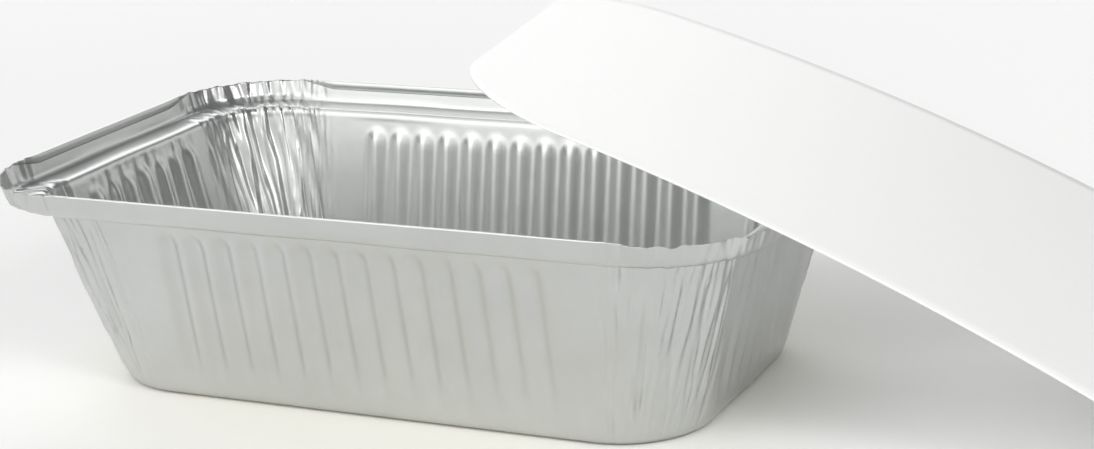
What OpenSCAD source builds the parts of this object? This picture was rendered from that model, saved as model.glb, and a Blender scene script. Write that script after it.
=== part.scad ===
// Foil food container: a tray pressed from one sheet of foil, with fluted walls, gathered corners and
// a standing lip, and the flat board lid taken off it. The lid leans on the lip at the +X end and its
// far end stands on the table. Millimetres, +Z up, origin at the centre of the tray's underside.

/* [Tray] */
// Length over the standing lip
top_l = 200; // [185:1:225]
// Width over the standing lip
top_w = 128; // [116:1:145]
// Height from the underside to the top of the lip
tray_h = 55; // [42:1:70]
// Corner radius of the lip, seen from above
top_r = 29; // [22:0.5:34]
// Length of the base where the walls meet the table
base_l = 157; // [140:1:168]
// Width of the base where the walls meet the table
base_w = 89; // [80:1:98]
// Corner radius of the base, seen from above
base_r = 22; // [16:0.5:26]
// Thickness of the foil
foil_t = 0.1; // [0.08:0.01:0.3]

/* [Rim] */
// Height of the standing lip above the ledge
lip_h = 5.9; // [4:0.1:9]
// How far the lip leans outward from foot to top
lip_flare = 1.4; // [0.4:0.1:2.5]
// Width of the flat ledge that the lid sits on
ledge_w = 7; // [5:0.5:10]
// Size of the rounded turn from ledge to wall
shoulder = 1.8; // [0.8:0.1:3]
// Height of the hem folded along the top of the lip
hem_h = 2.3; // [1.2:0.1:3.5]
// Thickness of the folded hem
hem_t = 0.7; // [0.4:0.05:1.2]

/* [Ribs] */
// Ribs along each long side
ribs_side = 14; // [8:1:15]
// Ribs across each end
ribs_end = 7; // [3:1:8]
// Distance from one rib to the next
rib_pitch = 7.3; // [6:0.1:7.8]
// How far a rib is pressed into the wall from outside
rib_depth = 1.3; // [0.5:0.1:2]
// Height at which a rib reaches its full depth
rib_foot = 12; // [8:0.5:20]
// Height of the arched top of a rib
rib_arch = 4.5; // [1.5:0.5:7]
// Height of the smooth band between ribs and ledge
wall_band = 1.5; // [1:0.5:9]

/* [Corners] */
// Creases round each corner
creases = 25; // [15:2:29]
// Depth of the gathers in a corner of the wall
gather_depth = 0.7; // [0.3:0.1:1.1]
// Depth of the crinkles in a corner of the lip
crinkle_depth = 0.7; // [0.2:0.1:1.3]
// How much further the lip spreads at a corner
corner_flare = 1; // [0:0.1:2.5]
// How far the crinkles pull the lip down at a corner
crinkle_drop = 0.9; // [0:0.1:1.6]
// Which of the random crease patterns is used
crease_seed = 11; // [1:1:60]
// Radius of the turn from base to wall
base_turn = 3.5; // [2:0.5:6]

/* [Lid] */
// Room between the lid's edge and the foot of the lip
lid_play = 0.3; // [0.1:0.1:1.5]
// Thickness of the board
lid_t = 0.5; // [0.3:0.05:1]
// How far the lid reaches in over the tray from the end it leans on
lid_overlap = 77.5; // [60:0.5:90]
// Sideways place of the lid's raised end
lid_side = -2; // [-12:0.5:12]
// Turn of the lid away from the tray's length
lid_turn = 9.5; // [0:0.5:15]
// Radius of the slight bow along the lid
lid_bow = 770; // [600:10:3000]
// Tilt of the lid across its width, halfway along
lid_roll = 2.5; // [-4:0.1:5]
// Twist of the lid from end to end
lid_twist = 5.5; // [0:0.1:7]
// Gap left where the lid rests on the lip
seat_gap = 0.3; // [0.2:0.05:0.6]
// Gap left where the lid stands on the table
foot_gap = 0.05; // [0.02:0.01:0.3]

/* [Hidden] */

// Heights and outlines of the tray
ledge_z = tray_h - lip_h;
wall_inset = lip_flare + ledge_w + shoulder;
wall_z = ledge_z - shoulder;
lean_x = (top_l/2 - wall_inset - base_l/2)/wall_z;
lean_y = (top_w/2 - wall_inset - base_w/2)/wall_z;
wall_lean = atan((lean_x + lean_y)/2);
rib_top = wall_z - wall_band;

// A rib is a crest between two feet: place along the pitch, and share of its depth
RIB_PLACE = [0.14, 0.5, 0.86];
RIB_RISE = [0, 1, 0];
end_half = ribs_end*rib_pitch/2;
side_half = ribs_side*rib_pitch/2;
crease_rand = rands(-1, 1, 8*creases, crease_seed);

// An outline is [half length, half width, corner radius]: inset from the lip, or on the sloping wall
function inset_outline(d) = [top_l/2 - d, top_w/2 - d, top_r - d];
function wall_outline(z) = [
    base_l/2 + lean_x*z,
    base_w/2 + lean_y*z,
    base_r + (top_r - wall_inset - base_r)*z/wall_z
];
function shrink(o, d) = [o[0] - d, o[1] - d, o[2] - d];

// A place on an outline is [x, y, direction of its outward normal]
function end_place(y, o) =
    let (over = (abs(y) - (o[1] - o[2]))/o[2])
    over <= 0 ? [o[0], y, 0]
    : [o[0] - o[2] + o[2]*cos(asin(over)), y, sign(y)*asin(over)];
function side_place(x, o) =
    let (over = (abs(x) - (o[0] - o[2]))/o[2])
    over <= 0 ? [x, o[1], 90]
    : [x, o[1] - o[2] + o[2]*sin(acos(over)), 90 - sign(x)*asin(over)];
function corner_place(f, o) =
    let (
        cx = o[0] - o[2],
        cy = o[1] - o[2],
        first = end_half > cy ? asin((end_half - cy)/o[2]) : 0,
        last = side_half > cx ? acos((side_half - cx)/o[2]) : 90,
        run_end = max(0, cy - end_half),
        run_arc = o[2]*(last - first)*PI/180,
        run_side = max(0, cx - side_half),
        s = f*(run_end + run_arc + run_side),
        turn = first + (s - run_end)/o[2]*180/PI
    )
    s < run_end ? [o[0], end_half + s, 0]
    : s < run_end + run_arc ? [cx + o[2]*cos(turn), cy + o[2]*sin(turn), turn]
    : [cx - (s - run_end - run_arc), o[1], 90];
function mirror_place(p) = [-p[0], p[1], 180 - p[2]];
function half_turn(p) = [-p[0], -p[1], p[2] + 180];

// The creases share out the arc of the lip, between the straight runs that the ribs leave beside it
run_to_arc = top_w/2 - top_r - end_half;
run_round_arc = top_r*PI/2;
run_round_corner = run_to_arc + run_round_arc + top_l/2 - top_r - side_half;

// A station is one point round the tray: [zone, quarter, place in the zone, rib, gather, crinkle, corner]
END = 0;
CORNER = 1;
SIDE = 2;
function rib_stations(zone, quarter, count, way) = concat(
    [for (k = [0:count - 1], j = [0:2])
        [zone, quarter, way*(k - count/2 + RIB_PLACE[j])*rib_pitch, RIB_RISE[j], 0, 0, 0]],
    [[zone, quarter, way*count/2*rib_pitch, 0, 0, 0, 0]]
);
function corner_stations(quarter) = [
    for (i = [0:creases - 1])
        let (
            a = crease_rand[2*quarter*creases + i],
            b = crease_rand[(2*quarter + 1)*creases + i],
            along = (run_to_arc + run_round_arc*(i + 0.5 + 0.3*a)/creases)/run_round_corner,
            amount = min(1, 2*sin(2*corner_place(along, inset_outline(0))[2])),
            zigzag = i % 2 == 0 ? -1 : 1
        )
        [CORNER, quarter, quarter % 2 == 0 ? along : 1 - along, 0,
            amount*zigzag*(0.6 + 0.4*b), amount*(0.6*zigzag + 0.4*a), amount]
];
STATIONS = concat(
    rib_stations(END, 0, ribs_end, 1), corner_stations(0),
    rib_stations(SIDE, 0, ribs_side, -1), corner_stations(1),
    rib_stations(END, 2, ribs_end, 1), corner_stations(2),
    rib_stations(SIDE, 2, ribs_side, -1), corner_stations(3)
);
COUNT = len(STATIONS);
function station_place(s, o) =
    let (
        p = s[0] == END ? end_place(s[2], o) : s[0] == SIDE ? side_place(s[2], o) : corner_place(s[2], o),
        q = s[0] == CORNER && s[1] % 2 == 1 ? mirror_place(p) : p
    )
    s[1] >= 2 ? half_turn(q) : q;

// A level is [outline, z, inward and upward parts of the foil's inside normal,
//             share of rib, gather and crinkle, and of the corner's spread and drop]
function level(o, z, n, rib = 0, gather = 0, crinkle = 0, spread = 0, drop = 0) =
    [o, z, n, rib, gather, crinkle, spread, drop];
function normal_at(angle) = [cos(angle), sin(angle)];
turn_half = (90 + wall_lean)/2;
turn_run = base_turn*tan((90 - wall_lean)/2);
turn_mid = base_turn*cos(turn_half);
rim_turn = normal_at(45)/cos(45);

UP = [0, 1];
BASE = level(shrink(wall_outline(0), turn_run), 0, UP);
TURN = level(
    shrink(wall_outline(0), turn_run - turn_mid), base_turn*(1 - sin(turn_half)), normal_at(turn_half));
function wall_level(z, rib, gather) = level(wall_outline(z), z, normal_at(wall_lean), rib, gather);
WALL_FOOT = wall_level(turn_run*cos(wall_lean), 0, 0.15);
RIB_FULL = wall_level(rib_foot, 1, 0.6);
RIB_SHOULDER = wall_level(rib_top - rib_arch, 1, 1);
RIB_END = wall_level(rib_top, 0, 1);
WALL_TOP = wall_level(wall_z, 0, 0.8);
SHOULDER = level(
    inset_outline(wall_inset - 0.3*shoulder), ledge_z - 0.3*shoulder, normal_at(50), 0, 0.6, 0, 0.1);
LEDGE_IN = level(inset_outline(wall_inset - shoulder), ledge_z, UP, 0, 0.3, 0.2, 0.2);
LIP_FOOT = level(inset_outline(lip_flare), ledge_z, rim_turn, 0, 0, 0.5, 0.5);
SHARED = [BASE, TURN, WALL_FOOT, RIB_FULL, RIB_SHOULDER, RIB_END, WALL_TOP, SHOULDER, LEDGE_IN, LIP_FOOT];

// The lip at a height above the ledge: its crinkles and spread grow evenly from foot to top
function lip_level(h) =
    let (s = h/lip_h, grown = 0.5 + 0.5*s)
    level(inset_outline(lip_flare*(1 - s)), ledge_z + h, [1, 0], 0, 0, grown, grown, s);
HEM_STEP = lip_level(lip_h - hem_h - hem_t/2);
HEM_FOOT = lip_level(lip_h - hem_h);
LIP_TOP = lip_level(lip_h);

// One ring of points: a level moved inward by the foil's thickness, or by the hem's along the straights
function ring_point(s, lv, thick, hem) =
    let (
        p = station_place(s, lv[0]),
        depth = thick + (hem - thick)*(1 - s[6]),
        out = gather_depth*s[4]*lv[4] + crinkle_depth*s[5]*lv[5] + corner_flare*s[6]*lv[6]
            - rib_depth*s[3]*lv[3] - depth*lv[2][0],
        down = crinkle_drop*s[6]*lv[7]*(0.5 + 0.5*s[5])
    )
    [p[0] + out*cos(p[2]), p[1] + out*sin(p[2]), lv[1] + depth*lv[2][1] - down];
function ring(lv, thick, hem) = [for (s = STATIONS) ring_point(s, lv, thick, hem)];
LIP_RING = ring(LIP_TOP, 0, 0);

module tray() {
    outside = concat([for (lv = SHARED) ring(lv, 0, 0)], [ring(HEM_STEP, 0, 0), LIP_RING]);
    hem = [ring(LIP_TOP, foil_t, hem_t), ring(HEM_FOOT, foil_t, hem_t), ring(HEM_STEP, foil_t, foil_t)];
    inside = [for (i = [len(SHARED) - 1:-1:0]) ring(SHARED[i], foil_t, foil_t)];
    rings = concat(outside, hem, inside);
    last = len(rings) - 1;
    points = [for (r = rings, p = r) p];
    // The two skins split their facets along the same diagonals, so the foil keeps its thickness
    faces = concat(
        [for (r = [0:last - 1], i = [0:COUNT - 1])
            let (a = r*COUNT + i, b = r*COUNT + (i + 1) % COUNT, c = a + COUNT, d = b + COUNT)
            each r < len(outside) - 1 ? [[a, c, b], [b, c, d]] : [[a, c, d], [a, d, b]]],
        [[for (i = [0:COUNT - 1]) i]],
        [[for (i = [COUNT - 1:-1:0]) last*COUNT + i]]
    );
    color([0.78, 0.79, 0.8]) polyhedron(points, faces, convexity = 8);
}

// Size of the lid: it drops inside the lip onto the ledge
lid_inset = lip_flare + foil_t + lid_play;
lid_l = top_l - 2*lid_inset;
lid_w = top_w - 2*lid_inset;
lid_r = top_r - lid_inset;
lid_x = top_l/2 - lid_overlap;

// The bowed lid, u along it and v across it, in its own upright plane: slope, run and rise
function lid_slope(u, lean) = lean + u/lid_bow*180/PI;
function lid_run(u, lean) = lid_bow*(sin(lid_slope(u, lean)) - sin(lean));
function lid_rise(u, v, lean) =
    lid_bow*(cos(lid_slope(u, lean)) - cos(lean)) + v*tan(lid_roll + lid_twist*(u/lid_l - 0.5));
function lid_half_t(u, lean) = lid_t/2/cos(lid_slope(u, lean));

// How high the lid must go to clear one point of the lip, if it passes over it
function clear_point(p, lean) =
    let (
        x = p[0] - lid_x,
        y = p[1] - lid_side,
        run = x*cos(lid_turn) + y*sin(lid_turn),
        v = y*cos(lid_turn) - x*sin(lid_turn),
        far = abs(v) > lid_w/2 || run < 0 || run > lid_run(lid_l, lean),
        u = far ? 0 : (asin(run/lid_bow + sin(lean)) - lean)*PI/180*lid_bow
    )
    far ? 0 : p[2] + seat_gap + lid_half_t(u, lean) - lid_rise(u, v, lean);
function seat_height(lean) = max([for (p = LIP_RING) clear_point(p, lean)]);

// Stations along the lid: the round corners in steps, and the straight between them
function lid_half_width(u) =
    let (over = max(0, max(lid_r - u, u - (lid_l - lid_r))))
    lid_w/2 - lid_r + sqrt(max(0, lid_r*lid_r - over*over));
CORNER_STEPS = 9;
SPAN_STEPS = 24;
LID_STATIONS = concat(
    [for (i = [0:CORNER_STEPS - 1]) lid_r*(1 - cos(90*i/CORNER_STEPS))],
    [for (i = [0:SPAN_STEPS]) lid_r + (lid_l - 2*lid_r)*i/SPAN_STEPS],
    [for (i = [CORNER_STEPS - 1:-1:0]) lid_l - lid_r*(1 - cos(90*i/CORNER_STEPS))]
);
function lowest(lean) =
    seat_height(lean) + min([for (u = LID_STATIONS, side = [-1, 1])
        lid_rise(u, side*lid_half_width(u), lean) - lid_half_t(u, lean)]);

// The lean at which the lid's far end comes down to the table
function find_lean(low, high, steps) =
    let (mid = (low + high)/2)
    steps == 0 ? mid
    : lowest(mid) > foot_gap ? find_lean(mid, high, steps - 1)
    : find_lean(low, mid, steps - 1);
LEAN = find_lean(2, 45, 24);
lid_z = seat_height(LEAN);

function lid_point(u, v, top) =
    let (run = lid_run(u, LEAN))
    [
        lid_x + run*cos(lid_turn) - v*sin(lid_turn),
        lid_side + run*sin(lid_turn) + v*cos(lid_turn),
        lid_z + lid_rise(u, v, LEAN) + top*lid_half_t(u, LEAN)
    ];

module lid() {
    last = len(LID_STATIONS) - 1;
    points = [for (u = LID_STATIONS) let (w = lid_half_width(u))
        each [lid_point(u, -w, -1), lid_point(u, w, -1), lid_point(u, w, 1), lid_point(u, -w, 1)]];
    faces = concat(
        [[0, 1, 2, 3]],
        [for (k = [0:last - 1], j = [0:3])
            let (a = 4*k + j, b = 4*k + (j + 1) % 4)
            each j < 2 ? [[b, a, a + 4], [b, a + 4, b + 4]] : [[b, a, b + 4], [a, a + 4, b + 4]]],
        [[4*last + 3, 4*last + 2, 4*last + 1, 4*last]]
    );
    color("white") polyhedron(points, faces, convexity = 2);
}

tray();
lid();
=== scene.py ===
"""Foil food container: the pressed foil tray and its board lid, dressed for the camera."""

import math

import bpy
import numpy as np
from mathutils import Matrix, Vector


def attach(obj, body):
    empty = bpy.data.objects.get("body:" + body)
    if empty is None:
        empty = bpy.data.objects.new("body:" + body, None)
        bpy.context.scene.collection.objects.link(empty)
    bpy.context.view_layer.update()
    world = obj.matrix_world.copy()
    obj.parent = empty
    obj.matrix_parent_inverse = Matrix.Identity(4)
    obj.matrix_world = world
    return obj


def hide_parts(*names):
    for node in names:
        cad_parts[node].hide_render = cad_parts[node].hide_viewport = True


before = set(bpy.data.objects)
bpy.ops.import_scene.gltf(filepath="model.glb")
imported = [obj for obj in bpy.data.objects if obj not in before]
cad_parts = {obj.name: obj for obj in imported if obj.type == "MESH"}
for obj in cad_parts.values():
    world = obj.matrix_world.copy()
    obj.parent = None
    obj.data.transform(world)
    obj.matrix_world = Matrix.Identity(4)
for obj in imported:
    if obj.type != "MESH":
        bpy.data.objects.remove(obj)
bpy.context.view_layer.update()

MM = 0.001

# Sizes of the tray in millimetres, the same as its solid in the frame
TOP_L, TOP_W, TRAY_H, TOP_R = 200.0, 128.0, 55.0, 29.0
BASE_L, BASE_W, BASE_R = 157.0, 89.0, 22.0
FOIL_T = 0.1
LIP_H, LIP_FLARE, LEDGE_W, SHOULDER = 5.9, 1.4, 7.0, 1.8
HEM_H, HEM_T = 2.3, 0.7
RIBS_SIDE, RIBS_END, RIB_PITCH, RIB_DEPTH = 14, 7, 7.3, 1.3
RIB_FOOT, RIB_ARCH, WALL_BAND, BASE_TURN = 12.0, 4.5, 1.5, 3.5
GATHER, CRINKLE, CORNER_FLARE, CRINKLE_DROP = 0.7, 0.7, 1.0, 0.9

# What follows from them
LEDGE_Z = TRAY_H - LIP_H
WALL_INSET = LIP_FLARE + LEDGE_W + SHOULDER
WALL_Z = LEDGE_Z - SHOULDER
LEAN_X = (TOP_L / 2 - WALL_INSET - BASE_L / 2) / WALL_Z
LEAN_Y = (TOP_W / 2 - WALL_INSET - BASE_W / 2) / WALL_Z
WALL_LEAN = math.atan((LEAN_X + LEAN_Y) / 2)
RIB_TOP = WALL_Z - WALL_BAND
END_HALF = RIBS_END * RIB_PITCH / 2
SIDE_HALF = RIBS_SIDE * RIB_PITCH / 2

# Half the width of a rib, and the height where its foot begins
RIB_HALF, RIB_START = RIB_PITCH / 2, 2.5

# A corner's run goes from the end wall's last rib, round the corner's arc, to the side wall's first
ARC_START, ARC = TOP_W / 2 - TOP_R - END_HALF, TOP_R * math.pi / 2
ARC_END = ARC_START + ARC
CORNER_RUN = ARC_END + TOP_L / 2 - TOP_R - SIDE_HALF

# How finely the foil is meshed round the tray, and the share of a corner's points before each knot
POINTS_PER_RIB = 8
POINTS_PER_CORNER = 140
CORNER_SHARES = (0, 0.02, 0.10, 0.86, 0.96, 1)
CORNER_KNOTS = (0, ARC_START - 6, ARC_START, ARC_END, ARC_END + 8, CORNER_RUN)

# Where its rings lie: shares of base, ledge and lip, steps round a bend, heights on the wall
BASE_SHARES = (0.12, 0.3, 0.5, 0.7, 0.85, 0.95)
BEND_STEPS = 4
WALL_HEIGHTS = (4.6, 6.4, 8.2, 10.2, 12.4, 15.4, 18.6, 22, 25.4, 28.8, 32, 35, 37.6, 39.8, 41.3,
                42.3, 43.2, 44.0, 44.8, 45.6, 46.4, WALL_Z)
LEDGE_SHARES = (0.25, 0.5, 0.75, 0.94)
LIP_SHARES = (0.2, 0.4, 0.6, 0.8, 0.93)

# The ring where the lip leaves the ledge: height above it, part of the normal, share of creases
LIP_FOOT_Z, LIP_FOOT_NORMAL, LIP_FOOT_SHARE = 0.35, 0.7, 0.3

# How far past the arc the creases reach on end and side walls, and over what length they fade
REACH_END, REACH_SIDE, FADE_END, FADE_SIDE = 6, 9, 9, 12

# Where along a corner's run the middles of its pleats lie
PLEATS_START, PLEATS_RUN = ARC_START - 4, ARC + 10

# The sets of pleats: seed, how many a corner, half widths, path up the foil where they start and end
CREASE_SEED = 5
LONG_PLEATS = (CREASE_SEED, 22, (0.8, 2.1), (-8, 32), (48, 90))
SHORT_PLEATS = (CREASE_SEED + 10, 24, (0.5, 1.2), (26, 52), (60, 90))
RIM_PLEATS = (CREASE_SEED + 20, 22, (0.6, 1.5), (50, 54), (90, 99))

# A pleat's random height and slant, the path from which it slants, and how it swings to and fro
PLEAT_HEIGHTS, PLEAT_SLANT, SLANT_FROM = (0.4, 1.0), 0.11, 35
SWINGS, SWING_LENGTH, PHASES = (0.2, 0.8), 5, (0, 6.28)

# Over what length of path a pleat fades in and out
FADE_IN, FADE_OUT = 6, 4

# The facets: wavelengths, slants, and how far the pattern shifts from one corner to the next
FACET_WAVES, FACET_SLANTS, FACET_SHIFT = (2.9, 4.1, 5.7, 7.9), (-0.7, 0.7), 37

# How much the facets and the fine gathers below wander, and over what length up the foil
FACET_SWAY, FACET_SWAY_LENGTH, END_SWAY, END_SWAY_LENGTH = 0.12, 4, 0.5, 3

# The fine gathers of the end walls: depth, wavelengths, and from what height and how fast they grow
END_GATHER, END_WAVES, END_FROM, END_GROWTH = 0.3, (3.1, 4.3, 5.9), 28, 14

# Shares of the long, short and rim pleats and the facets on the wall, the ledge and the lip
WALL_MIX, LEDGE_MIX, LIP_MIX = (0.95, 0.6, 0, 0.35), (0.6, 0.5, 0.4, 0.3), (0.4, 0.4, 0.5, 0.4)

# How the creases grow up the wall and the lip, fade across the ledge, and begin at the base's bend
WALL_LOW, WALL_MORE, WALL_GROWTH = 0.35, 0.65, 0.4
LIP_LOW, LIP_MORE = 0.55, 0.45
LEDGE_FADE, BEND_GATHER = 0.75, 0.2

# Slow unevenness of the foil: its heights, then its wavelength and seed on each part
UNEVEN, LEDGE_UNEVEN = 0.12, 0.10
WALL_RIPPLE, LEDGE_RIPPLE, BASE_RIPPLE, LIP_RIPPLE = (60, 3), (35, 4), (45, 5), (50, 6)
RIPPLE_SINES, RIPPLE_SPREAD, RIPPLE_FADE = 5, (0.6, 1.6), 0.3

# How far the lip's top sinks in a corner, evenly and with the facets that lie at one length of path
SINK_EVEN, SINK_FACETS, SINK_PATH = 0.5, 0.4, 3.0

# The hem thins out towards a bare edge from this far before a corner's arc, and over this length
HEM_FADE_START, HEM_FADE = 6, 15

# The hem's and the bare edge's roundness, the share of the lip above its last ring, rings down inside
HEM_ROUND, BARE_ROUND, LIP_LEFT = 1.05, 0.1, 0.07
HEM_SHARES, HEM_PRESS, BARE_RISE, BARE_DOWN = (0.4, 0.8, 1.0), 1.2, 0.9, 0.15

# The lid in millimetres and degrees: the middle of its raised end, and how it leans and bends
LID_L, LID_W, LID_R, LID_T = 196.4, 124.4, 27.2, 0.5
LID_X, LID_Y, LID_Z = 22.5, -2.0, 86.177
LID_LEAN, LID_BOW, LID_TURN, LID_ROLL, LID_TWIST = 17.574, 770.0, 9.5, 2.5, 5.5

# How finely it is meshed at its round ends, between them and across, and how soft its edges are
LID_END_STEPS, LID_POINTS_LONG, LID_POINTS_ACROSS, LID_SOFT = 14, 49, 33, 0.12


def inset_outline(d):
    return TOP_L / 2 - d, TOP_W / 2 - d, TOP_R - d


def wall_outline(z):
    radius = BASE_R + (TOP_R - WALL_INSET - BASE_R) * z / WALL_Z
    return BASE_L / 2 + LEAN_X * z, BASE_W / 2 + LEAN_Y * z, radius


# Places on an outline, as x, y and the direction of the outward normal
def end_places(y, a, b, r):
    over = np.clip((np.abs(y) - (b - r)) / r, 0, 1)
    turn = np.arcsin(over)
    return a - r + r * np.cos(turn), y, np.sign(y) * turn


def side_places(x, a, b, r):
    over = np.clip((np.abs(x) - (a - r)) / r, 0, 1)
    turn = np.arcsin(over)
    return x, b - r + r * np.cos(turn), math.pi / 2 - np.sign(x) * turn


def corner_places(f, a, b, r):
    cx, cy = a - r, b - r
    first = math.asin((END_HALF - cy) / r) if END_HALF > cy else 0.0
    last = math.acos((SIDE_HALF - cx) / r) if SIDE_HALF > cx else math.pi / 2
    run_end, run_arc, run_side = max(0, cy - END_HALF), r * (last - first), max(0, cx - SIDE_HALF)
    s = f * (run_end + run_arc + run_side)
    turn = np.clip(first + (s - run_end) / r, first, last)
    x, y = cx + r * np.cos(turn), cy + r * np.sin(turn)
    on_end, on_side = s < run_end, s > run_end + run_arc
    x = np.where(on_end, a, np.where(on_side, cx - (s - run_end - run_arc), x))
    y = np.where(on_end, END_HALF + s, np.where(on_side, b, y))
    return x, y, np.where(on_end, 0, np.where(on_side, math.pi / 2, turn))


def smooth(t):
    t = np.clip(t, 0, 1)
    return t * t * (3 - 2 * t)


class Stations:
    """The points round the tray, zone by zone, and what each needs for its ribs and creases.

    rib is the distance from the middle of a point's rib, run the distance along its corner and along
    the distance from the middle of its end wall, each nan elsewhere. corner and gather are the shares
    that it has of the lip's flare and of the creases. quarter is its corner's number, or -1.
    """

    def __init__(self):
        self.zones, self.columns = [], []
        for half in (False, True):
            self.add_ribs(True, half)
            self.add_corner(False, half)
            self.add_ribs(False, half)
            self.add_corner(True, half)
        columns = [np.concatenate(column) for column in zip(*self.columns)]
        self.rib, self.run, self.along, self.corner, self.gather, self.quarter = columns
        self.count = len(self.rib)

    def add_ribs(self, on_end, half):
        ribs = RIBS_END if on_end else RIBS_SIDE
        n = ribs * POINTS_PER_RIB + 1
        reach = ribs * RIB_PITCH / 2
        value = np.linspace(-reach, reach, n)
        value = value if on_end else value[::-1]
        rib = (np.mod(value / RIB_PITCH + ribs / 2, 1) - 0.5) * RIB_PITCH
        none, zero = np.full(n, np.nan), np.zeros(n)
        along = value if on_end else none
        self.columns.append((rib, none, along, zero, zero, np.full(n, -1)))
        self.zones.append((end_places if on_end else side_places, False, half, value))

    def add_corner(self, mirrored, half):
        n = POINTS_PER_CORNER
        run = np.interp((np.arange(n) + 0.5) / n, CORNER_SHARES, CORNER_KNOTS)
        run = run[::-1] if mirrored else run
        none = np.full(n, np.nan)
        turn = np.clip((run - ARC_START) / ARC, 0, 1) * math.pi / 2
        corner = np.minimum(1, 2 * np.sin(2 * turn))
        on_end = smooth((run - ARC_START + REACH_END) / FADE_END)
        gather = on_end * smooth((ARC_END + REACH_SIDE - run) / FADE_SIDE)
        self.columns.append((none, run, none, corner, gather, np.full(n, 2 * half + mirrored)))
        self.zones.append((corner_places, mirrored, half, run / CORNER_RUN))

    def places(self, outline):
        """The points' x and y on an outline, and the direction of each one's outward normal."""
        columns = []
        for make, mirrored, half, value in self.zones:
            x, y, turn = make(value, *outline)
            if mirrored:
                x, turn = -x, math.pi - turn
            if half:
                x, y, turn = -x, -y, turn + math.pi
            columns.append((x, y, turn))
        return [np.concatenate(column) for column in zip(*columns)]


def rib_rise(st, z):
    """Depth of a pressed rib: round across, arched at the top and fading towards its foot."""
    above = np.maximum(0, z - (RIB_TOP - RIB_ARCH)) * RIB_HALF / RIB_ARCH
    away = np.clip(np.hypot(st.rib, above) / RIB_HALF, 0, 1)
    foot = smooth((z - RIB_START) / (RIB_FOOT - RIB_START))
    return np.where(np.isnan(st.rib), 0, np.cos(math.pi / 2 * away) ** 2 * foot)


def pleats(st, path, seed, count, widths, lows, highs):
    """Gathered folds in and beside each corner, slanting and wandering, each with its own ends."""
    out = np.zeros(st.count)
    for q in range(4):
        rng = np.random.default_rng(seed + q)
        here = st.quarter == q
        run = st.run[here]
        total = np.zeros(len(run))
        for k in range(count):
            middle = PLEATS_START + PLEATS_RUN * (k + rng.random()) / count
            slant = rng.normal(0, PLEAT_SLANT)
            swing, phase = rng.uniform(*SWINGS), rng.uniform(*PHASES)
            left, right = rng.uniform(*widths), rng.uniform(*widths)
            height = rng.uniform(*PLEAT_HEIGHTS) * rng.choice((-1, 1))
            low, high = rng.uniform(*lows), rng.uniform(*highs)
            x = run - middle - slant * (path - SLANT_FROM)
            x = x - swing * math.sin(path / SWING_LENGTH + phase)
            tent = np.maximum(0, 1 - np.where(x > 0, x / right, -x / left))
            total += height * tent * smooth((path - low) / FADE_IN) * smooth((high - path) / FADE_OUT)
        out[here] = total
    return out * st.gather


def crumple(st, path):
    """Small facets in the corners: zigzags crossing at odd angles."""
    rng = np.random.default_rng(CREASE_SEED + 40)
    run = np.nan_to_num(st.run) + FACET_SHIFT * st.quarter
    total = np.zeros(st.count)
    for wave in FACET_WAVES:
        slant = rng.uniform(*FACET_SLANTS)
        t = (run * math.cos(slant) + path * math.sin(slant)) / wave + rng.random()
        t += FACET_SWAY * np.sin(path / FACET_SWAY_LENGTH + wave)
        total += (4 * np.abs(t - np.floor(t + 0.5)) - 1) * wave / FACET_WAVES[-1]
    return total / 2 * st.gather


def end_gathers(st, z):
    """Fine upright gathers close under the shoulder of the end walls."""
    rng = np.random.default_rng(CREASE_SEED + 60)
    total = np.zeros(st.count)
    for wave in END_WAVES:
        phase = rng.uniform(*PHASES) + END_SWAY * math.sin(z / END_SWAY_LENGTH + wave)
        total += np.sin(np.nan_to_num(st.along) * 2 * math.pi / wave + phase)
    grown = smooth((z - END_FROM) / END_GROWTH)
    return np.where(np.isnan(st.along), 0, total / len(END_WAVES)) * grown


def mixed(creases, shares):
    return sum(share * crease for share, crease in zip(shares, creases))


def ripple(x, y, z, size, seed):
    """A slow unevenness of about -1 to 1, from a few sines in odd directions."""
    rng = np.random.default_rng(seed)
    total = 0
    for _ in range(RIPPLE_SINES):
        d = rng.normal(size=3)
        d /= np.linalg.norm(d)
        wave = size * rng.uniform(*RIPPLE_SPREAD) / 2 / math.pi
        total = total + np.sin((x * d[0] + y * d[1] + z * d[2]) / wave + rng.uniform(*PHASES))
    return total / (RIPPLE_SINES / 2)


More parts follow.
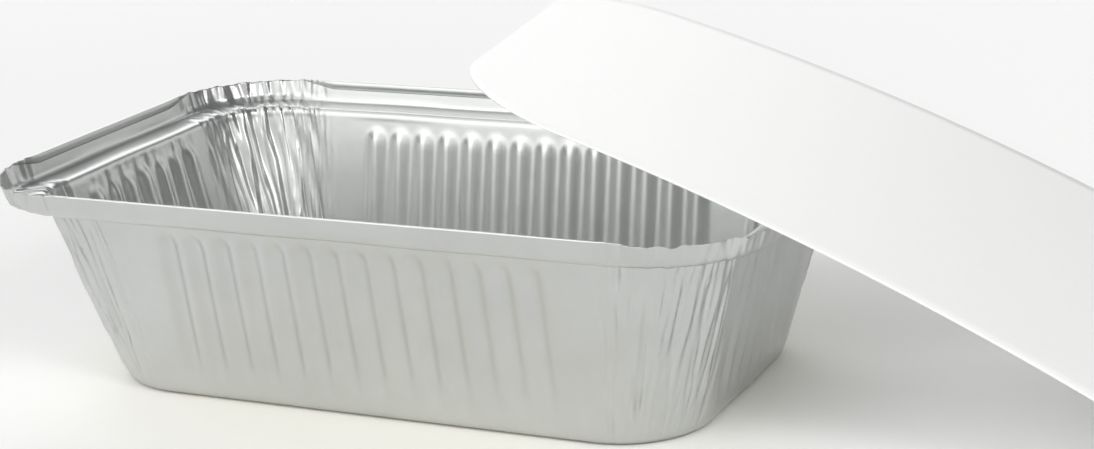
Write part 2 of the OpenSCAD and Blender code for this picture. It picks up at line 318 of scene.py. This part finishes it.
def tray_levels():
    """Each level: outline, height, outward and upward parts of the normal, kind, share of it."""
    levels = []
    bend = math.pi / 2 - WALL_LEAN
    tangent = BASE_TURN * math.tan(bend / 2)
    a, b, r = wall_outline(0)
    for share in BASE_SHARES:
        levels.append(((a - tangent, b - tangent, r - tangent), 0, 0, -1, "base", share))
    for i in range(BEND_STEPS + 1):
        angle = bend * i / BEND_STEPS
        d = tangent - BASE_TURN * math.sin(angle)
        z = BASE_TURN * (1 - math.cos(angle))
        levels.append(((a - d, b - d, r - d), z, math.sin(angle), -math.cos(angle), "bend", 0))
    for z in WALL_HEIGHTS:
        out_n, up_n = math.cos(WALL_LEAN), -math.sin(WALL_LEAN)
        levels.append((wall_outline(z), z, out_n, up_n, "wall", z / WALL_Z))
    for i in range(1, BEND_STEPS + 1):
        angle = math.pi / 2 * i / BEND_STEPS
        d = WALL_INSET - SHOULDER * (1 - math.cos(angle))
        z = WALL_Z + SHOULDER * math.sin(angle)
        levels.append((inset_outline(d), z, math.cos(angle), -math.sin(angle), "ledge", 1))
    for share in LEDGE_SHARES:
        outline = inset_outline(WALL_INSET - SHOULDER - LEDGE_W * share)
        levels.append((outline, LEDGE_Z, 0, -1, "ledge", 1 - LEDGE_FADE * share ** 2))
    levels.append((inset_outline(LIP_FLARE), LEDGE_Z + LIP_FOOT_Z, LIP_FOOT_NORMAL, -LIP_FOOT_NORMAL,
                   "ledge", LIP_FOOT_SHARE))
    for share in LIP_SHARES:
        outline = inset_outline(LIP_FLARE * (1 - share))
        levels.append((outline, LEDGE_Z + LIP_H * share, 1, 0, "lip", share))
    return levels


def tray_rings(st):
    """Every ring of points of the foil's outside, from the middle of the base to the lip's top."""
    rings = []
    path = 0.0
    last = None
    for outline, z, out_n, up_n, kind, share in tray_levels():
        if last is not None and kind != "base":
            path += math.hypot(outline[0] - last[0], z - last[1])
        last = (outline[0], z)
        x, y, turn = st.places(outline)
        creases = [pleats(st, path, *kind_of) for kind_of in (LONG_PLEATS, SHORT_PLEATS, RIM_PLEATS)]
        creases.append(crumple(st, path))
        move, spread, drop = np.zeros(st.count), 0, 0
        if kind == "base":
            x, y = x * share, y * share
            dent = np.maximum(0, 1 + ripple(x, y, 0 * x, *BASE_RIPPLE))
            move -= UNEVEN * dent * smooth((1 - share) / RIPPLE_FADE)
        if kind == "bend":
            move += BEND_GATHER * GATHER * creases[0] * out_n
        if kind == "wall":
            move -= RIB_DEPTH * rib_rise(st, z)
            grown = WALL_LOW + WALL_MORE * smooth(share / WALL_GROWTH)
            move += GATHER * grown * mixed(creases, WALL_MIX)
            uneven = UNEVEN * ripple(x, y, z, *WALL_RIPPLE) * smooth(share / RIPPLE_FADE)
            move += uneven + END_GATHER * end_gathers(st, z)
        if kind == "ledge":
            move += GATHER * share * mixed(creases, LEDGE_MIX)
            move += LEDGE_UNEVEN * ripple(x, y, z, *LEDGE_RIPPLE)
        if kind == "lip":
            grown = LIP_LOW + LIP_MORE * share
            move += CRINKLE * grown * mixed(creases, LIP_MIX)
            move += UNEVEN * ripple(x, y, z, *LIP_RIPPLE)
            spread = CORNER_FLARE * grown * st.corner
            sunk = SINK_EVEN + SINK_FACETS * crumple(st, SINK_PATH)
            drop = CRINKLE_DROP * share * st.corner * sunk
        out = move * out_n + spread
        z = z + move * up_n - drop
        rings.append(np.column_stack([x + out * np.cos(turn), y + out * np.sin(turn), z]))
    return rings


def hem_rings(st, rings):
    """The hem: over the lip's top and down inside it on the straights, a bare edge in the corners."""
    top, below = rings[-1], rings[-2]
    turn = st.places(inset_outline(0))[2]
    inward = np.column_stack([-np.cos(turn), -np.sin(turn), 0 * turn])
    up = (top - below) / np.linalg.norm(top - below, axis=1)[:, None]
    into_arc = np.nan_to_num(np.minimum(st.run - ARC_START, ARC_END - st.run), nan=-CORNER_RUN)
    folded = (1 - smooth((into_arc + HEM_FADE_START) / HEM_FADE))[:, None]
    bare = 1 - folded
    radius = HEM_T / 2 * (HEM_ROUND * folded + BARE_ROUND)
    rise = LIP_H * LIP_LEFT
    centre = top + inward * radius + up * ((rise - radius) * folded + BARE_RISE * rise * bare)
    made = []
    for i in range(BEND_STEPS + 1):
        angle = math.pi * i / BEND_STEPS
        made.append(centre - inward * radius * math.cos(angle) + up * radius * math.sin(angle))
    inner = made[-1]
    for share in HEM_SHARES:
        down = (HEM_H - HEM_T / 2) * share * folded + BARE_DOWN * share * bare
        made.append(inner - up * down - inward * radius * HEM_PRESS * share ** 2)
    return made


def mesh_from(name, points, faces):
    mesh = bpy.data.meshes.new(name)
    mesh.from_pydata([tuple(p) for p in np.asarray(points) * MM], [], faces)
    mesh.validate()
    mesh.update()
    mesh.polygons.foreach_set("use_smooth", [True] * len(mesh.polygons))
    piece = bpy.data.objects.new(name, mesh)
    bpy.context.scene.collection.objects.link(piece)
    return piece


def ring_faces(rings, n):
    """The faces between rings of n points each."""
    faces = []
    for r in range(rings - 1):
        for i in range(n):
            a, b = r * n + i, r * n + (i + 1) % n
            faces.append((a, b, b + n, a + n))
    return faces


def make_tray():
    st = Stations()
    rings = tray_rings(st)
    rings += hem_rings(st, rings)
    n = st.count
    faces = [list(range(n - 1, -1, -1))] + ring_faces(len(rings), n)
    piece = mesh_from("foil_tray", np.vstack(rings), faces)
    shell = piece.modifiers.new("foil", "SOLIDIFY")
    shell.thickness = FOIL_T * MM
    shell.offset = -1
    return piece


def lid_slope(u):
    return math.radians(LID_LEAN) + u / LID_BOW


def lid_point(u, v, top):
    """A point of the lid from its place along and across the flat board, and above its middle."""
    lean = math.radians(LID_LEAN)
    run = LID_BOW * (math.sin(lid_slope(u)) - math.sin(lean))
    rise = LID_BOW * (math.cos(lid_slope(u)) - math.cos(lean))
    rise += v * math.tan(math.radians(LID_ROLL + LID_TWIST * (u / LID_L - 0.5)))
    turn = math.radians(LID_TURN)
    x = LID_X + run * math.cos(turn) - v * math.sin(turn)
    y = LID_Y + run * math.sin(turn) + v * math.cos(turn)
    return x, y, LID_Z + rise + top / math.cos(lid_slope(u))


def lid_half_width(u):
    over = max(0, LID_R - u, u - (LID_L - LID_R))
    return LID_W / 2 - LID_R + math.sqrt(max(0, LID_R ** 2 - over ** 2))


def make_lid():
    steps = range(LID_END_STEPS)
    ends = [LID_R * (1 - math.cos(math.pi / 2 * i / LID_END_STEPS)) for i in steps]
    middle = list(np.linspace(LID_R, LID_L - LID_R, LID_POINTS_LONG))
    stations = ends + middle + [LID_L - e for e in reversed(ends)]
    across = np.linspace(-1, 1, LID_POINTS_ACROSS)
    points = []
    for u in stations:
        w = lid_half_width(u)
        for side, way in ((-1, 1), (1, -1)):
            for v in across * way:
                points.append(lid_point(u, v * (w - LID_SOFT), side * LID_T / 2))
            points.append(lid_point(u, way * w, side * (LID_T / 2 - LID_SOFT)))
    ring = 2 * (len(across) + 1)
    last = (len(stations) - 1) * ring
    faces = ring_faces(len(stations), ring)
    faces += [list(range(ring - 1, -1, -1)), list(range(last, last + ring))]
    return mesh_from("board_lid", points, faces)


class Nodes:
    """A short way to build the nodes and links of a material or a world."""

    def __init__(self, owner):
        owner.use_nodes = True
        self.tree = owner.node_tree
        self.tree.nodes.clear()

    def add(self, kind, operation=None, **values):
        node = self.tree.nodes.new("ShaderNode" + kind)
        if operation:
            node.operation = operation
        for key, value in values.items():
            node.inputs[key.replace("_", " ")].default_value = value
        return node

    def ramp(self, colours, positions=(0, 1)):
        node = self.add("ValToRGB")
        for element, colour, position in zip(node.color_ramp.elements, colours, positions):
            element.color, element.position = (*colour, 1), position
        return node

    def link(self, source, output, target, entry):
        self.tree.links.new(source.outputs[output], target.inputs[entry])


# The two ends of the range of colours of the foil, the board and the floor
FOIL_COLOURS = (0.549, 0.560, 0.551), (0.652, 0.664, 0.652)
BOARD_COLOURS = (0.92, 0.92, 0.91), (0.97, 0.97, 0.965)
FLOOR_COLOURS = (0.965, 0.948, 0.88), (0.97, 0.97, 0.965)


def foil_material():
    """Rolled foil: cloudy in tint and gloss, with broad dents and a fine grain."""
    material = bpy.data.materials.new("foil")
    m = Nodes(material)
    out = m.add("OutputMaterial")
    shader = m.add("BsdfPrincipled", Metallic=1.0)
    place = m.add("TexCoord")
    cloud = m.add("TexNoise", Scale=55.0, Detail=4.0, Roughness=0.6)
    dents = m.add("TexNoise", Scale=160.0, Detail=2.0, Roughness=0.5)
    grain = m.add("TexNoise", Scale=900.0, Detail=1.0, Roughness=0.5)
    tint = m.ramp(FOIL_COLOURS)
    gloss = m.add("MapRange", To_Min=0.30, To_Max=0.38)
    broad = m.add("Bump", Strength=0.1, Distance=0.0006)
    fine = m.add("Bump", Strength=0.06, Distance=0.0002)
    for texture in (cloud, dents, grain):
        m.link(place, "Object", texture, "Vector")
    m.link(cloud, "Fac", tint, "Fac")
    m.link(cloud, "Fac", gloss, "Value")
    m.link(tint, "Color", shader, "Base Color")
    m.link(gloss, "Result", shader, "Roughness")
    m.link(dents, "Fac", broad, "Height")
    m.link(grain, "Fac", fine, "Height")
    m.link(broad, "Normal", fine, "Normal")
    m.link(fine, "Normal", shader, "Normal")
    m.link(shader, "BSDF", out, "Surface")
    return material


def board_material():
    """Smooth white board with a trace of its fibres."""
    material = bpy.data.materials.new("board")
    m = Nodes(material)
    out = m.add("OutputMaterial")
    shader = m.add("BsdfPrincipled", Roughness=0.42)
    place = m.add("TexCoord")
    fibre = m.add("TexNoise", Scale=420.0, Detail=6.0, Roughness=0.65)
    tone = m.ramp(BOARD_COLOURS)
    bump = m.add("Bump", Strength=0.15, Distance=0.0001)
    m.link(place, "Object", fibre, "Vector")
    m.link(fibre, "Fac", tone, "Fac")
    m.link(tone, "Color", shader, "Base Color")
    m.link(fibre, "Fac", bump, "Height")
    m.link(bump, "Normal", shader, "Normal")
    m.link(shader, "BSDF", out, "Surface")
    return material


# The camera, from the outlines of the tray in the photograph
CAMERA_AZIMUTH, CAMERA_ELEVATION, CAMERA_ROLL = 24.91, 15.85, -2.5
CAMERA_DISTANCE, CAMERA_RIGHT, CAMERA_UP = 0.61784, 0.02494, 0.03334
CAMERA_LENS, CAMERA_SENSOR, CAMERA_CLIP = 80.25, 36.0, (0.01, 50)


def make_camera():
    azimuth, elevation = math.radians(CAMERA_AZIMUTH), math.radians(CAMERA_ELEVATION)
    level = math.cos(elevation)
    back = Vector((math.sin(azimuth) * level, -math.cos(azimuth) * level, math.sin(elevation)))
    right = Vector((math.cos(azimuth), math.sin(azimuth), 0))
    up = back.cross(right)
    data = bpy.data.cameras.new("camera")
    data.lens, data.sensor_width, data.sensor_fit = CAMERA_LENS, CAMERA_SENSOR, "HORIZONTAL"
    data.clip_start, data.clip_end = CAMERA_CLIP
    camera = bpy.data.objects.new("camera", data)
    place = back * CAMERA_DISTANCE + right * CAMERA_RIGHT + up * CAMERA_UP
    turned = Matrix((right, up, back)).transposed()
    turned = Matrix.Rotation(math.radians(CAMERA_ROLL), 3, back) @ turned
    camera.matrix_world = Matrix.Translation(place) @ turned.to_4x4()
    bpy.context.scene.collection.objects.link(camera)
    bpy.context.scene.camera = camera


# The floor in metres: where its warmth and its lit part end, and where it has turned to plain white
FLOOR_SIZE = 6.0
WARM_TO, PLAIN_FROM, LIT_TO, WHITE_FROM = 0.06, 0.115, 0.25, 0.9


def make_floor():
    """A matt floor, plain white far off for the camera and for what mirrors it."""
    mesh = bpy.data.meshes.new("floor")
    s = FLOOR_SIZE
    mesh.from_pydata([(-s, -s, 0), (s, -s, 0), (s, s, 0), (-s, s, 0)], [], [(0, 1, 2, 3)])
    floor = bpy.data.objects.new("floor", mesh)
    bpy.context.scene.collection.objects.link(floor)
    material = bpy.data.materials.new("floor")
    m = Nodes(material)
    out = m.add("OutputMaterial")
    matt = m.add("BsdfDiffuse")
    white = m.add("Emission", Color=(1, 1, 1, 1), Strength=1.0)
    mix = m.add("MixShader")
    ray = m.add("LightPath")
    place = m.add("TexCoord")
    away = m.add("VectorMath", "LENGTH")
    warmth = m.ramp(FLOOR_COLOURS, (WARM_TO, PLAIN_FROM))
    far = m.add("MapRange", From_Min=LIT_TO, From_Max=WHITE_FROM)
    seen = m.add("Math", "MAXIMUM")
    share = m.add("Math", "MULTIPLY")
    m.link(place, "Object", away, 0)
    m.link(away, "Value", warmth, "Fac")
    m.link(away, "Value", far, "Value")
    m.link(ray, "Is Camera Ray", seen, 0)
    m.link(ray, "Is Glossy Ray", seen, 1)
    m.link(seen, "Value", share, 0)
    m.link(far, "Result", share, 1)
    m.link(warmth, "Color", matt, "Color")
    m.link(share, "Value", mix, 0)
    m.link(matt, "BSDF", mix, 1)
    m.link(white, "Emission", mix, 2)
    m.link(mix, "Shader", out, "Surface")
    mesh.materials.append(material)


# The studio's dim level, and its soft panels: direction, cosines at edge and full strength, strength
STUDIO = 0.18
PANELS = [
    ((-0.10, -0.35, 0.92), 0.60, 0.85, 0.15),
    ((-0.40, -0.32, 0.86), 0.80, 0.93, 1.2),
    ((-0.40, -0.82, 0.41), 0.84, 0.96, 2.1),
    ((-0.41, 0.78, 0.48), 0.84, 0.97, 2.2),
    ((0.53, 0.80, 0.28), 0.93, 0.99, 1.2),
    ((-0.87, 0.40, 0.28), 0.60, 0.93, 0.4),
    ((0.48, -0.76, 0.44), 0.80, 0.96, 1.2),
]


def make_world():
    world = bpy.data.worlds.new("studio")
    bpy.context.scene.world = world
    m = Nodes(world)
    out = m.add("OutputWorld")
    sky = m.add("Background")
    place = m.add("TexCoord")
    total = None
    for side, edge, full, strength in PANELS:
        facing = m.add("VectorMath", "DOT_PRODUCT")
        facing.inputs[1].default_value = side
        panel = m.add("MapRange", From_Min=edge, From_Max=full, To_Max=strength)
        panel.interpolation_type = "SMOOTHSTEP"
        lit = m.add("Math", "ADD")
        lit.inputs[1].default_value = STUDIO
        m.link(place, "Generated", facing, 0)
        m.link(facing, "Value", panel, "Value")
        m.link(panel, "Result", lit, 0)
        if total is not None:
            m.link(total, "Value", lit, 1)
        total = lit
    m.link(total, "Value", sky, "Strength")
    m.link(sky, "Background", out, "Surface")


# The one lamp, in metres and watts
KEY_PLACE, KEY_AIM, KEY_SIZE, KEY_POWER = (0.66, -0.41, 0.60), (0.05, 0, 0.02), 0.3, 2.2


def make_key():
    data = bpy.data.lights.new("key", "AREA")
    data.shape, data.size, data.energy = "SQUARE", KEY_SIZE, KEY_POWER
    lamp = bpy.data.objects.new("key", data)
    lamp.location = KEY_PLACE
    towards = Vector(KEY_AIM) - Vector(KEY_PLACE)
    lamp.rotation_euler = towards.to_track_quat("-Z", "Y").to_euler()
    bpy.context.scene.collection.objects.link(lamp)


def dress(piece, node, material):
    piece.data.materials.append(material)
    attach(piece, "root")
    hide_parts(node)


dress(make_tray(), "tray", foil_material())
dress(make_lid(), "lid", board_material())
make_camera()
make_floor()
make_world()
make_key()

bpy.context.scene.view_settings.view_transform = "Standard"
